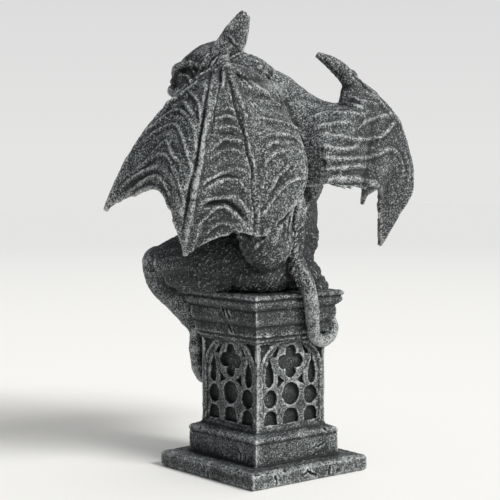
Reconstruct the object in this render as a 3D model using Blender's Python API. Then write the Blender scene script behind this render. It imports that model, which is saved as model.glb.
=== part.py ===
# A gargoyle crouching on a square gothic plinth, one small casting in cold-cast resin.
# Sizes are in millimetres and become metres when a mesh is made. The gargoyle faces -Y, its left is +X,
# and the underside of the plinth's slab lies at Z = 0, centred on the origin.

import math

import bpy
import numpy as np

MM = 0.001

# Plinth: half widths and heights
SLAB_HALF = 42.5
SLAB_TOP = 9.2
SLAB_EDGE = 1.2
SLAB_SLOPE = 1.6
FOOT_HALF = 30.7
FOOT_TOP = 25.2
FOOT_LIP = 3.2
SHAFT_HALF = 25.2
SHAFT_BOTTOM = 26.4
SHAFT_TOP = 77.0
FILLET_OUT = 1.7
NECKING_HALF = 28.3
NECKING_TOP = 85.6
FRIEZE_HALF = 29.8
FRIEZE_BOTTOM = 88.6
FRIEZE_TOP = 94.6
LIP_HALF = 30.2
LIP_BOTTOM = 95.6
LIP_TOP = 102.8
LIP_TOP_HALF = 32.8
LIP_OUT = 0.8
CAP_TOP = 104.0
CAP_TOP_HALF = 30.2

# Tracery on each face of the shaft: places across the face and heights above the ground
PANEL_HALF = 21.4
PANEL_FOOT = 28.6
PANEL_SPRING = 58.5
PANEL_TOP = 76.2
PANEL_DEPTH = 0.8
PIERCING_DEPTH = 2.9
QUATREFOIL_Z = 65.0
QUATREFOIL_LOBE = 4.1
QUATREFOIL_REACH = 5.3
WHEEL_Z = 46.6
WHEEL_RADIUS = 6.5
SIDE_LIGHT_U = 14.9
TEARDROP_U = 15.8
TEARDROP_Z = 59.4
TEARDROP = (4.6, 8.2)
OVAL_Z = 44.7
OVAL = (4.9, 5.2)
UPPER_SPANDREL = [(10.6, 68.2), (13.8, 68.4), (11.8, 71.4), (8.2, 74.2)]
LOWER_SPANDREL = [(9.2, 57.6), (9.9, 51.0), (4.6, 54.0)]
CORNER_SPANDREL = [(22.9, 75.9), (22.9, 64.5), (20.8, 68.2), (17.8, 72.0), (14.2, 75.9)]
CORNER_DEPTH = 1.8
ARCADE_FOOT = 29.9
SIDE_ARCH = (33.4, 4.9, 4.6)
MIDDLE_ARCH = (33.6, 5.6, 4.8)
CUTTER_REACH = 6.0

# Figure: places on its left side, mirrored for its right
SHOULDER = (19.0, 21.0, 203.0)
ELBOW = (37.0, 28.5, 204.5)
WRIST = (45.5, 23.5, 226.0)
LEADING_TIP = (96.2, -18.0, 150.7)
LONG_TIP = (72.0, 21.5, 127.5)
HIP = (14.0, 6.0, 119.0)
KNEE = (46.0, -38.0, 118.5)
ANKLE = (22.0, -40.5, 86.0)
TOES = (19.0, -37.5, 74.0)
MEMBRANE = 3.4
INNER_MEMBRANE = 4.4
BONE = 2.8
BONE_TAPER = 0.35
KNUCKLE = (3.2, 3.2, 4.0)
SPINE_BEADS = 4
SPINE_START = (-3.0, 233.0)
SPINE_RUN = (27.0, -23.0)
SPINE_BEAD = (3.2, 3.6, 3.2)

# Head: turned to the figure's left and bowed
HEAD = (15.0, -37.5, 231.0)
HEAD_TURN = math.radians(46.0)
HEAD_BOW = math.radians(30.0)

# Casting finish of the figure's solid
VOXEL = 1.2
FIGURE_FACES = 7000
RESIN = (0.045, 0.047, 0.050)


def spline(points, count):
    # A smooth curve through the points; every column, a radius included, is interpolated alike.
    points = np.array(points, float)
    if len(points) == 2:
        return points[0] + np.linspace(0.0, 1.0, count)[:, None] * (points[1] - points[0])
    padded = np.vstack([2 * points[0] - points[1], points, 2 * points[-1] - points[-2]])
    at = np.linspace(0.0, len(points) - 1, count)
    span = np.minimum(at.astype(int), len(points) - 2)
    t = (at - span)[:, None]
    a, b, c, d = (padded[span + step] for step in range(4))
    return 0.5 * (2 * b + (c - a) * t + (2 * a - 5 * b + 4 * c - d) * t**2 + (3 * b - a - 3 * c + d) * t**3)


def unit(vectors):
    return vectors / np.maximum(np.linalg.norm(vectors, axis=-1, keepdims=True), 1e-9)


def grid_faces(rows, columns, closed, start=0):
    faces = []
    for row in range(rows - 1):
        for column in range(columns if closed else columns - 1):
            after = (column + 1) % columns
            faces.append((
                start + row * columns + column,
                start + row * columns + after,
                start + (row + 1) * columns + after,
                start + (row + 1) * columns + column,
            ))
    return faces


def tube(points, count=12, sides=10, flat=1.0, wide=(0.31, 0.87, 0.38)):
    # A closed tapering limb: each point is x, y, z and a radius.
    # wide is its broad way and flat narrows the other.
    path = spline(points, count)
    centres = path[:, :3]
    radii = np.maximum(path[:, 3], 0.15)
    along = unit(np.gradient(centres, axis=0))
    across = np.array(wide, float)
    rings = []
    turn = np.linspace(0.0, 2 * math.pi, sides, endpoint=False)
    for centre, radius, direction in zip(centres, radii, along):
        across = unit(across - direction * np.dot(across, direction))
        third = np.cross(direction, across)
        ring = np.outer(np.cos(turn), across) + flat * np.outer(np.sin(turn), third)
        rings.append(centre + radius * ring)
    points_out = np.vstack(rings)
    faces = grid_faces(count, sides, True)
    faces.append(tuple(range(sides - 1, -1, -1)))
    faces.append(tuple((count - 1) * sides + side for side in range(sides)))
    return points_out, faces


def ball(centre, radii, axes=None, count=10, sides=14):
    # An ellipsoid, with its axes given as three rows where it isn't upright.
    lean = np.linspace(0.0, math.pi, count + 2)[1:-1]
    turn = np.linspace(0.0, 2 * math.pi, sides, endpoint=False)
    rings = [
        np.stack([math.sin(a) * np.cos(turn), math.sin(a) * np.sin(turn), np.full(sides, -math.cos(a))], axis=1)
        for a in lean
    ]
    points = np.vstack(rings + [[(0, 0, -1)], [(0, 0, 1)]]) * radii
    if axes is not None:
        points = points @ np.array(axes)
    faces = grid_faces(count, sides, True)
    last = count * sides
    faces += [(last, (side + 1) % sides, side) for side in range(sides)]
    top = (count - 1) * sides
    faces += [(last + 1, top + side, top + (side + 1) % sides) for side in range(sides)]
    return points + np.array(centre), faces


def slab(surface, thickness):
    # A closed skin round a grid of points, half its thickness to each side.
    rows, columns = surface.shape[:2]
    normal = unit(np.cross(np.gradient(surface, axis=1), np.gradient(surface, axis=0)))
    outer = surface + normal * thickness / 2
    inner = surface - normal * thickness / 2
    points = np.vstack([outer.reshape(-1, 3), inner.reshape(-1, 3)])
    half = rows * columns
    faces = grid_faces(rows, columns, False)
    faces += [tuple(reversed(face)) for face in grid_faces(rows, columns, False, half)]
    rim = [column for column in range(columns)]
    rim += [row * columns + columns - 1 for row in range(1, rows)]
    rim += [(rows - 1) * columns + column for column in range(columns - 2, -1, -1)]
    rim += [row * columns for row in range(rows - 2, 0, -1)]
    for place, start in enumerate(rim):
        after = rim[(place + 1) % len(rim)]
        faces.append((after, start, half + start, half + after))
    return points, faces


def mirrored(solid):
    points, faces = solid
    return points * (-1, 1, 1), [tuple(reversed(face)) for face in faces]


def both(solid):
    return [solid, mirrored(solid)]


def fold(down, at, width):
    # One fold of skin: it swells slowly from above and falls away sharply below.
    step = (down - at) / width
    return np.exp(-np.where(step < 0, step * 0.9, step * 2.1) ** 2)


def panel(first, second, hem, folds, depth, sag, arch=0.0, crest=None, pull=1.6, rows=30, columns=20):
    # Skin between two bones: hem and crest are its lower and upper edges, folds the places of its folds
    # down the wing, which rise by arch between the bones, and sag sets the skin back from the bones.
    down = np.linspace(0.0, 1.0, rows)[:, None, None]
    over = np.linspace(0.0, 1.0, columns)[None, :, None]
    one = spline(first, rows)[:, None, :]
    two = spline(second, rows)[:, None, :]
    edge = spline(hem, columns)[None, :, :]
    chord = (1 - over) * one[-1:] + over * two[-1:]
    surface = (1 - over) * one + over * two + (edge - chord) * down**pull
    if crest:
        straight = (1 - over) * one[:1] + over * two[:1]
        surface = surface + (spline(crest, columns)[None, :, :] - straight) * (1 - down) ** 4
    normal = unit(np.cross(np.gradient(surface, axis=1), np.gradient(surface, axis=0)))
    between = np.sin(math.pi * over)
    lift = -sag * between**0.5 * np.minimum(1.0, 3 * down)
    for at, width in folds:
        lift = lift + depth * between**0.6 * fold(down + arch * between, at, width)
    return surface + normal * lift


def point(place, offset=(0, 0, 0)):
    return tuple(np.array(place) + offset)


LEADING = [WRIST, (60, 18, 221.5), (72, 11, 209), (84, 0, 190), (92, -10, 169), LEADING_TIP]
LONG = [WRIST, (57, 31.5, 215.5), (68.3, 37.2, 201), (75, 38.8, 180), (78, 37.5, 161), (77, 30, 143), LONG_TIP]
SHORT = [WRIST, (47, 32, 214), (46, 38, 202), (41.5, 39.5, 182), (36.5, 39, 163)]
LEADING_HEM = [
    LEADING_TIP, (93, -10, 156), (89.5, 4, 160.5), (88, 13, 163), (86, 20, 160), (84, 24, 152), (80, 24.5, 141),
    LONG_TIP,
]
INNER = [point(SHOULDER, (-5, 3, 5)), (12, 31, 201), (9, 38, 192), (8, 43.5, 179), (9, 44.5, 165)]
SPINE = [(3, 20, 209), (2.5, 23, 202), (2, 25, 192), (2, 26, 179), (3, 27, 163)]


def bones(long, short, claw):
    # The wing's arm, claw and finger bones
    fingers = []
    for line in (LEADING, long, short):
        last = len(line) - 1
        points = [(*at, BONE * (1 - BONE_TAPER * place / last)) for place, at in enumerate(line)]
        fingers.append(tube(points, 26))
    near_elbow = point(ELBOW, (-8, -2, -1))
    near_wrist = point(WRIST, (-0.5, 2, -8))
    arm = [(*SHOULDER, 7.2), (*near_elbow, 6.2), (*ELBOW, 6.0), (*near_wrist, 6.0), (*WRIST, 4.4)]
    knuckles = [ball(place, KNUCKLE) for place in (long[2], long[4], short[2], short[4])]
    knuckles.append(ball(WRIST, (4.6, 4.6, 4.6)))
    return fingers + [tube(arm, 16, 12), tube(claw, 16, 10)] + knuckles


def left_wing():
    low = (31.5, 37, 137)
    short = SHORT + [low]
    long_hem = [LONG_TIP, (66, 29, 133.5), (57, 34, 137.5), (48, 37, 139.5), (40, 38, 138), low]
    inner = INNER + [(14, 41, 154), (19.5, 37, 147)]
    inner_hem = [low, (28, 38, 139), (24, 38, 142), inner[-1]]
    leading_folds = [(0.34, 0.05), (0.45, 0.05), (0.56, 0.05), (0.67, 0.05), (0.78, 0.05), (0.90, 0.05)]
    long_folds = [(0.30, 0.04), (0.38, 0.04), (0.46, 0.045), (0.60, 0.05), (0.75, 0.07)]
    inner_folds = [(0.18, 0.05), (0.34, 0.06), (0.62, 0.16)]
    claw = [(45, 25, 217, 6.0), (42, 19, 226, 5.2), (34, 9, 235, 3.8), (26, 1, 241.5, 0.8)]
    spine_end = (10, 29, 150)
    spine_hem = [spine_end, (13, 33, 148), inner[-1]]
    return bones(LONG, short, claw) + [
        slab(panel(LONG, LEADING, LEADING_HEM[::-1], leading_folds, 2.4, 3.0), MEMBRANE),
        slab(panel(short, LONG, long_hem[::-1], long_folds, 3.0, 3.5, 0.06), MEMBRANE),
        slab(panel(inner, short, inner_hem[::-1], inner_folds, 2.4, 0.5, 0.05), INNER_MEMBRANE),
        slab(panel(SPINE + [spine_end], inner, spine_hem, [], 0, 0), INNER_MEMBRANE),
        tube([(9, 9, 212, 10), (20, 15, 217.5, 8.5), (34, 20, 223, 6.5), (*WRIST, 4.6)], 14, 12),
        tube([(6, 13, 213, 10), (17, 20, 214, 8), (31, 26, 215, 6), (44, 27, 218, 4)], 14, 12),
        ball((18, 24, 136), (15, 14, 18)),
    ]


def right_wing():
    # The right wing folds in further: its skin ends higher between the spine and the long finger.
    long = LONG[:2] + [(69.5, 37.2, 201), (78, 38.8, 180), (81.5, 37.5, 161), (77.5, 31, 146), LONG_TIP]
    long_hem = [LONG_TIP, (66, 27, 140), (62, 31, 152), (57.5, 36.5, 159), (50, 41, 162.5), SHORT[-1]]
    inner_hem = [SHORT[-1], (28, 43, 163.5), (17, 45, 163), INNER[-1]]
    crest = [INNER[0], point(ELBOW, (-9, 0, 3)), point(ELBOW, (3, 1, 3)), WRIST]
    leading_folds = [(0.34, 0.05), (0.48, 0.05), (0.62, 0.05), (0.78, 0.05), (0.90, 0.05)]
    folds = [(0.16, 0.05), (0.30, 0.05), (0.44, 0.05), (0.58, 0.05), (0.72, 0.05), (0.86, 0.05)]
    claw = [(45, 27, 215, 6.0), (41, 25.5, 224, 5.4), (34, 22, 232, 4.2), (25.5, 17, 238.5, 0.8)]
    wing = bones(long, SHORT, claw) + [
        slab(panel(long, LEADING, LEADING_HEM[::-1], leading_folds, 2.4, 3.0), MEMBRANE),
        slab(panel(SHORT, long, long_hem[::-1], folds, 2.0, 0.5), MEMBRANE),
        slab(panel(INNER, SHORT, inner_hem[::-1], folds, 2.0, -2.5, 0.0, crest), INNER_MEMBRANE),
        slab(panel(SPINE, INNER, [SPINE[-1], (6, 36, 163.5), INNER[-1]], [], 0, 0), INNER_MEMBRANE),
        tube([(2, 8, 213, 11), (13, 13, 210, 9.5), (24, 20, 206, 7), (*ELBOW, 5)], 12, 12),
    ]
    return [mirrored(solid) for solid in wing]


def torso():
    solids = [
        ball((0, 8, 124), (26, 20, 21)),
        ball((0, 11, 148), (28, 18, 27)),
        ball((0, 4, 172), (25, 21, 26)),
        ball((0, 3, 194), (25, 21, 21)),
        ball((0, -3, 210), (20, 18, 15)),
        tube([(0, 6, 210, 14), (0, -7, 222, 13.5), (2, -19, 228.5, 12.5), (9, -31, 231, 11.5)], 10, 14),
        tube([(0, 17, 206, 6), (0, 22, 190, 6), (0, 24, 165, 6)], 10, 8),
    ]
    for place in range(SPINE_BEADS):
        # Beads of the spine between the shoulders
        drop = place / (SPINE_BEADS - 1)
        back = SPINE_START[0] + SPINE_RUN[0] * drop
        height = SPINE_START[1] + SPINE_RUN[1] * drop
        solids.append(ball((0, back, height), SPINE_BEAD))
    solids += both(ball((13, 10, 206), (13, 12, 11)))
    solids.append(ball((-23, 15, 104), (10, 10, 9.5)))
    return solids


def leg():
    thigh = [(*HIP, 15), (24, -6, 121, 17.5), (35, -22, 122, 15.5), (*KNEE, 10.4)]
    shin = [(*KNEE, 10.4), (41.5, -40, 108, 9.6), (30.5, -41.5, 96.5, 7.8), (*ANKLE, 6.2)]
    foot = [(*ANKLE, 6.2), (20, -39, 80, 5.6), (*TOES, 4.8)]
    solids = [ball(HIP, (13, 17, 15)), tube(thigh, 14, 14), tube(shin, 12, 12), tube(foot, 8, 10),
              ball(point(KNEE, (2, -2, 2)), (8.5, 8.5, 9)), ball((32, -33, 109), (9.5, 9.5, 8.5)),
              ball((12, 10, 113), (17, 17, 11))]
    for toe in (-1, 0, 1):
        # Three toes that reach down the face of the cap and shaft and end in claws
        root = TOES[0] + 3.4 * toe
        tip = TOES[0] + 4.0 * toe
        line = [(root, -37, 80, 3.2), (tip, -36, 70, 3.3), (tip, -33, 60, 2.9), (tip, -28.5, 49, 0.7)]
        solids.append(tube(line, 12, 8))
    return solids


def arm():
    # The hidden arms come down in front and rest on the cap between the legs
    upper = [(23, 2, 205, 9.5), (27, -14, 188, 8.2), (24, -25, 165, 7.0), (20, -31, 148, 6.0)]
    lower = [(20, -31, 148, 6.2), (15, -33, 130, 5.6), (11.5, -31, 113, 4.6), (11, -30, 105, 4.8)]
    solids = [tube(upper, 12, 12), tube(lower, 12, 12)]
    for finger in (-1, 0, 1):
        across = 11 + 3.6 * finger
        line = [(11, -29, 106, 3.4), (across, -33, 105.5, 2.8), (across, -36.5, 101, 2.2), (across, -36, 93, 1)]
        solids.append(tube(line, 10, 8))
    return solids


def tail():
    route = [
        (0, 27, 162, 3.8), (0, 30, 150, 5.0), (0, 27.5, 136, 5.4), (-1, 29.5, 122, 5.2), (-2, 36.5, 112, 5.0),
        (-4.5, 37.5, 100, 4.8), (-8, 34, 88, 4.6), (-12, 31, 79.5, 4.3), (-19, 30, 75, 4.2), (-26, 29.5, 77, 4),
        (-30.5, 27, 82.5, 3.6), (-30, 25, 88, 2.6),
    ]
    return [tube(route, 60, 12)]


def ear_line(side):
    # Big leaf-shaped ears swept back from the brow, in the head's own directions
    places = [(-15, 8, 1, 5.4), (-22, 10, 5, 6.8), (-30, 11, 10, 6.4), (-39, 10.5, 16, 0.8)]
    return [(ahead, side * out, above, radius) for ahead, out, above, radius in places]


def head():
    forward = np.array([math.sin(HEAD_TURN) * math.cos(HEAD_BOW), -math.cos(HEAD_TURN) * math.cos(HEAD_BOW),
                        -math.sin(HEAD_BOW)])
    left = np.array([math.cos(HEAD_TURN), math.sin(HEAD_TURN), 0.0])
    up = np.cross(forward, left)
    axes = np.array([forward, left, up])

    def place(ahead, side, above):
        return tuple(np.array(HEAD) + np.array([ahead, side, above]) @ axes)

    def lump(ahead, side, above, radii):
        return ball(place(ahead, side, above), radii, axes)

    def ridge(points, count=10, sides=8):
        return tube([(*place(*at[:3]), at[3]) for at in points], count, sides)

    solids = [
        lump(-5, 0, 2, (15.5, 13, 12.5)), lump(6, 0, -2, (12, 11, 10)), lump(14.5, 0, -6, (9.5, 7.4, 6.4)),
        lump(12, 0, -12.5, (10, 6.2, 3.8)), lump(21.5, 0, -3.6, (3.6, 4.0, 3.4)),
        ridge([(-14, 0, 8, 4), (-4, 0, 11, 4), (7, 0, 7, 3.4), (14, 0, 1, 2.6), (20, 0, -1, 2.4)], 14),
    ]
    for side in (-1, 1):
        brow = [(15.5, side * 2.5, 2, 1.6), (12.5, side * 7.5, 5, 2.5), (6, side * 11.5, 5, 2.2),
                (0, side * 12.5, 1.5, 1.4)]
        cheek = [(14, side * 5.5, -4.5, 1.6), (8.5, side * 10, -5.5, 2.4), (1, side * 12.2, -3.5, 2.0)]
        fang = [(17.5, side * 4.6, -8.5, 1.3), (17.5, side * 4.8, -11.5, 0.9), (17, side * 4.6, -14, 0.4)]
        eye = lump(10.5, side * 7.4, 0.2, (2.6, 2.2, 2.3))
        ear = tube([(*place(*at[:3]), at[3]) for at in ear_line(side)], 12, 12, 0.5, forward)
        solids += [ridge(brow), ridge(cheek), ridge(fang, 6, 6), eye, ear]
    return solids


def figure():
    solids = torso() + tail() + head() + left_wing() + right_wing()
    for solid in leg() + arm():
        solids += both(solid)
    return solids


def mesh_object(name, solids, scale=MM):
    points = np.vstack([solid[0] for solid in solids]) * scale
    faces = []
    start = 0
    for place, loops in solids:
        faces += [tuple(start + corner for corner in loop) for loop in loops]
        start += len(place)
    mesh = bpy.data.meshes.new(name)
    mesh.from_pydata(points.tolist(), [], faces)
    mesh.validate()
    obj = bpy.data.objects.new(name, mesh)
    bpy.context.scene.collection.objects.link(obj)
    return obj


def helper(obj):
    obj.hide_render = True
    obj.display_type = "WIRE"
    return obj


def square_stack(profile):
    # A square block whose half width follows the profile, from its underside to its top.
    corners = [(1, 1), (-1, 1), (-1, -1), (1, -1)]
    points = np.array([(x * half, y * half, z) for half, z in profile for x, y in corners])
    faces = grid_faces(len(profile), 4, True)
    faces.append((3, 2, 1, 0))
    faces.append(tuple(len(points) - 4 + corner for corner in range(4)))
    return points, faces


def bulge(half_low, z_low, half_high, z_high, out, steps=3):
    # A rounded edge between two heights of the profile
    for step in range(1, steps):
        part = step / steps
        half = half_low + (half_high - half_low) * part + out * math.sin(math.pi * part)
        yield half, z_low + (z_high - z_low) * part


def plinth_profile():
    # Half widths and heights, from the underside of the slab to the top of the cap
    foot = FOOT_HALF - 0.2
    foot_top = FOOT_HALF - 1.2
    lip_low = FOOT_TOP - FOOT_LIP
    return [
        (SLAB_HALF - 1.0, 0.0),
        (SLAB_HALF, SLAB_EDGE),
        (SLAB_HALF, SLAB_TOP - SLAB_EDGE),
        (SLAB_HALF - SLAB_SLOPE, SLAB_TOP),
        (FOOT_HALF, SLAB_TOP),
        (foot, lip_low),
        *bulge(foot, lip_low, foot_top, FOOT_TOP, 0.8),
        (FOOT_HALF - 1.8, FOOT_TOP),
        (SHAFT_HALF + 0.6, SHAFT_BOTTOM),
        (SHAFT_HALF, SHAFT_BOTTOM + 1.4),
        (SHAFT_HALF, SHAFT_TOP),
        (SHAFT_HALF + FILLET_OUT, SHAFT_TOP + 1.0),
        (SHAFT_HALF + FILLET_OUT - 0.2, SHAFT_TOP + 2.6),
        (NECKING_HALF, SHAFT_TOP + 3.6),
        (NECKING_HALF - 0.2, NECKING_TOP),
        (NECKING_HALF + 0.3, NECKING_TOP + 1.0),
        (FRIEZE_HALF, FRIEZE_BOTTOM),
        (FRIEZE_HALF + 0.2, FRIEZE_TOP),
        (LIP_HALF, LIP_BOTTOM),
        *bulge(LIP_HALF, LIP_BOTTOM, LIP_TOP_HALF, LIP_TOP, LIP_OUT, 4),
        (LIP_TOP_HALF - 0.3, LIP_TOP),
        (CAP_TOP_HALF, CAP_TOP),
    ]


def prism(outline, depth):
    # A cutter for the shaft's face: the outline in u and z, pushed in from beyond the face.
    outline = np.array(outline, float)
    u, z = outline.T
    if np.sum(u * np.roll(z, -1) - z * np.roll(u, -1)) < 0:
        outline = outline[::-1]
    count = len(outline)
    face = -(SHAFT_HALF + CUTTER_REACH)
    floor = -(SHAFT_HALF - depth)
    points = np.vstack([
        np.stack([outline[:, 0], np.full(count, at), outline[:, 1]], axis=1) for at in (face, floor)
    ])
    faces = [tuple(range(count)), tuple(range(2 * count - 1, count - 1, -1))]
    faces += [(place, count + place, count + (place + 1) % count, (place + 1) % count) for place in range(count)]
    return points, faces


def oval(u, z, wide, tall, sides, start=0.0):
    turn = np.linspace(0.0, 2 * math.pi, sides, endpoint=False) + start
    return np.stack([u + wide * np.cos(turn), z + tall * np.sin(turn)], axis=1)


def teardrop(u, z, wide, tall, sides=10):
    # Round below and drawn out to a point above
    turn = np.linspace(0.0, 2 * math.pi, sides, endpoint=False) - math.pi / 2
    narrow = 0.5 * (1 - np.sin(turn)) ** 0.6
    return np.stack([u + 1.25 * wide * np.cos(turn) * narrow, z + tall * np.sin(turn)], axis=1)


def pointed(u, foot, spring, half, rise, steps=3):
    # A pointed arch: straight sides and two arcs that meet over the middle
    outline = [(u + half, foot), (u + half, spring)]
    for step in range(1, steps):
        turn = step / steps * math.pi / 2
        outline.append((u + half * math.cos(turn) ** 0.75, spring + rise * math.sin(turn) ** 1.1))
    outline.append((u, spring + rise))
    return outline + [(2 * u - across, z) for across, z in outline[-2::-1]]


def quatrefoil():
    # Four round lobes that meet in cusps on the diagonals
    outline = []
    cusp = math.pi / 4 + math.asin(QUATREFOIL_REACH / (QUATREFOIL_LOBE * math.sqrt(2)))
    for lobe in range(4):
        heading = lobe * math.pi / 2
        u = QUATREFOIL_REACH * math.cos(heading)
        z = QUATREFOIL_Z + QUATREFOIL_REACH * math.sin(heading)
        for step in range(-3, 3):
            turn = heading + cusp * step / 3
            outline.append((u + QUATREFOIL_LOBE * math.cos(turn), z + QUATREFOIL_LOBE * math.sin(turn)))
    return outline


def face_cutters():
    # Every piercing of one face's tracery, seen on the face that looks along -Y
    deep = PANEL_DEPTH + PIERCING_DEPTH
    panel_outline = pointed(0, PANEL_FOOT, PANEL_SPRING, PANEL_HALF, PANEL_TOP - PANEL_SPRING, 5)
    openings = [
        quatrefoil(),
        oval(0, WHEEL_Z, WHEEL_RADIUS, WHEEL_RADIUS, 12, math.pi / 12),
        pointed(0, ARCADE_FOOT, *MIDDLE_ARCH),
    ]
    for side in (-1, 1):
        u = side * SIDE_LIGHT_U
        openings += [
            teardrop(side * TEARDROP_U, TEARDROP_Z, *TEARDROP),
            oval(u, OVAL_Z, *OVAL, 10),
            [(side * across, z) for across, z in UPPER_SPANDREL],
            [(side * across, z) for across, z in LOWER_SPANDREL],
            pointed(u, ARCADE_FOOT, *SIDE_ARCH),
        ]
    corners = [
        prism([(side * across, z) for across, z in CORNER_SPANDREL], CORNER_DEPTH)
        for side in (-1, 1)
    ]
    return [prism(panel_outline, PANEL_DEPTH)], [prism(outline, deep) for outline in openings] + corners


def turned(solid, quarter):
    points, faces = solid
    sine = math.sin(quarter * math.pi / 2)
    cosine = math.cos(quarter * math.pi / 2)
    x, y, z = points.T
    return np.stack([x * cosine - y * sine, x * sine + y * cosine, z], axis=1), faces


def resin():
    material = bpy.data.materials.new("dark_cast_resin")
    material.use_nodes = True
    shader = material.node_tree.nodes["Principled BSDF"]
    shader.inputs["Base Color"].default_value = (*RESIN, 1.0)
    shader.inputs["Roughness"].default_value = 0.62
    shader.inputs["Metallic"].default_value = 0.0
    return material


def cast_figure():
    # The figure's overlapping limbs are melted into one skin, as in the mould
    body = helper(mesh_object("figure_form", figure()))
    skin = body.modifiers.new("one_skin", "REMESH")
    skin.mode = "VOXEL"
    skin.voxel_size = VOXEL * MM
    skin.adaptivity = 0.0
    soften = body.modifiers.new("soften", "SMOOTH")
    soften.factor = 0.5
    soften.iterations = 2
    bpy.context.view_layer.update()
    evaluated = body.evaluated_get(bpy.context.evaluated_depsgraph_get())
    count = 2 * len(evaluated.data.polygons)
    lighten = body.modifiers.new("lighten", "DECIMATE")
    lighten.ratio = FIGURE_FACES / count
    return body


def combine(obj, other, operation, name):
    step = obj.modifiers.new(name, "BOOLEAN")
    step.operation = operation
    step.solver = "EXACT"
    step.object = other


def main():
    for obj in list(bpy.data.objects):
        bpy.data.objects.remove(obj)
    plinth = mesh_object("gargoyle_on_plinth", [square_stack(plinth_profile())])
    panels, piercings = [], []
    for quarter in range(4):
        shallow, deep = face_cutters()
        panels += [turned(solid, quarter) for solid in shallow]
        piercings += [turned(solid, quarter) for solid in deep]
    combine(plinth, helper(mesh_object("panel_cutters", panels)), "DIFFERENCE", "panels")
    combine(plinth, helper(mesh_object("tracery_cutters", piercings)), "DIFFERENCE", "tracery")
    combine(plinth, cast_figure(), "UNION", "figure")
    plinth.data.materials.append(resin())


main()
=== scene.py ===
import math

import bpy
import numpy as np
from mathutils import Matrix, Vector, bvhtree, kdtree


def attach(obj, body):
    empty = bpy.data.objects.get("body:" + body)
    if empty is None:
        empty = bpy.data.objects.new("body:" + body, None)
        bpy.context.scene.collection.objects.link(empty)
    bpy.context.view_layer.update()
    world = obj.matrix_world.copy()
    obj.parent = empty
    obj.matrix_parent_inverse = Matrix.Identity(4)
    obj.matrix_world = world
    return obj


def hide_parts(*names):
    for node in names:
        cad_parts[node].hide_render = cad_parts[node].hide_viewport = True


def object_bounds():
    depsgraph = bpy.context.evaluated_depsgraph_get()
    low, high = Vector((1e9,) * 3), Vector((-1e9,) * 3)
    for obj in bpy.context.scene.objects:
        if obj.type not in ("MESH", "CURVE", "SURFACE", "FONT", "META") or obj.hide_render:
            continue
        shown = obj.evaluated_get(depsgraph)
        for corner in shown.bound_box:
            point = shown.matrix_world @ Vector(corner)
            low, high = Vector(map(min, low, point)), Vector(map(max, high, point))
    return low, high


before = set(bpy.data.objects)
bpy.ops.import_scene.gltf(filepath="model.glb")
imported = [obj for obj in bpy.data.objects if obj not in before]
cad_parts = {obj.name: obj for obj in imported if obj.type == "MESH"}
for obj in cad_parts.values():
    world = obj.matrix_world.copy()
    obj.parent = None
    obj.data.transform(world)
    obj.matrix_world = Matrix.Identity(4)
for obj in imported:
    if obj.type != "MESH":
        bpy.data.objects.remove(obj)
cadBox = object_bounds()
mm = 0.001  # every size below is in millimetres, in the frame's own directions

# the figurine: one casting in cold-cast resin, given here as the figure and its plinth
casting = {
    "figureVoxel": 0.62,
    "plinthVoxel": 0.62,
    "figureSmooth": 12, "plinthSmooth": 4,
    # unevenness and grit, as size and height
    "figureGrain": [(9, 0.6), (2.2, 0.6)], "plinthGrain": [(14, 0.9), (3.2, 0.55), (1.6, 0.35)],
    "mostTriangles": 194000,
    "membrane": 3.2,
    "innerMembrane": 4.2,
    "bone": 2.3,
}

# places on the figure's left side; the right side mirrors them
shoulder = (19.0, 21.0, 203.0)
elbow = (37.0, 28.5, 204.5)
wrist = (45.5, 23.5, 226.0)
leadingTip = (96.2, -18.0, 150.7)
longTip = (72.0, 21.5, 127.5)
hip = (14.0, 6.0, 119.0)
knee = (46.0, -38.0, 118.5)
ankle = (22.0, -40.5, 86.0)
toes = (19.0, -35.5, 74.0)

leadingBone = [wrist, (60, 18, 221.5), (72, 11, 209), (84, 0, 190), (92, -10, 169), leadingTip]
longBone = [wrist, (57, 31.5, 215.5), (68.3, 37.2, 201), (75, 38.8, 180), (78, 37.5, 161), (77, 30, 143),
            longTip]
shortBone = [wrist, (47, 32, 214), (46, 38, 202), (41.5, 39.5, 182), (36.5, 39, 163)]
leadingHem = [
    leadingTip, (93, -10, 156), (89.5, 4, 160.5), (88, 13, 163), (86, 20, 160), (84, 24, 152),
    (80, 24.5, 141), longTip
]
spineLine = [(3, 20, 209), (2.5, 23, 202), (2, 25, 192), (2, 26, 179), (3, 27, 163)]


def moved(place, offset):
    return tuple(np.array(place) + offset)


innerLine = [moved(shoulder, (-5, 3, 5)), (12, 31, 201), (9, 38, 192), (8, 43.5, 179), (9, 44.5, 165)]


# small helpers

def deselectAll():
    if bpy.context.object and bpy.context.object.mode != "OBJECT":
        bpy.ops.object.mode_set(mode="OBJECT")
    bpy.ops.object.select_all(action="DESELECT")


def makeActive(piece):
    deselectAll()
    piece.select_set(True)
    bpy.context.view_layer.objects.active = piece


def applyModifier(piece, kind, **settings):
    makeActive(piece)
    modifier = piece.modifiers.new(kind.lower(), kind)
    for key, value in settings.items():
        setattr(modifier, key, value)
    bpy.ops.object.modifier_apply(modifier=modifier.name)


def splineThrough(points, count):
    # a smooth curve through the points; a radius in the fourth place is carried along
    points = np.array(points, float)
    padded = np.vstack([2 * points[0] - points[1], points, 2 * points[-1] - points[-2]])
    at = np.linspace(0.0, len(points) - 1, count)
    span = np.minimum(at.astype(int), len(points) - 2)
    t = (at - span)[:, None]
    a, b, c, d = (padded[span + step] for step in range(4))
    return 0.5 * (2 * b + (c - a) * t + (2 * a - 5 * b + 4 * c - d) * t**2 + (3 * b - a - 3 * c + d) * t**3)


def fadeIn(value, start, length):
    # 0 before start, 1 a length beyond it; a negative length fades the other way
    return np.clip((value - start) / length, 0, 1)


def unit(vectors):
    return vectors / np.maximum(np.linalg.norm(vectors, axis=-1, keepdims=True), 1e-9)


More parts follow.
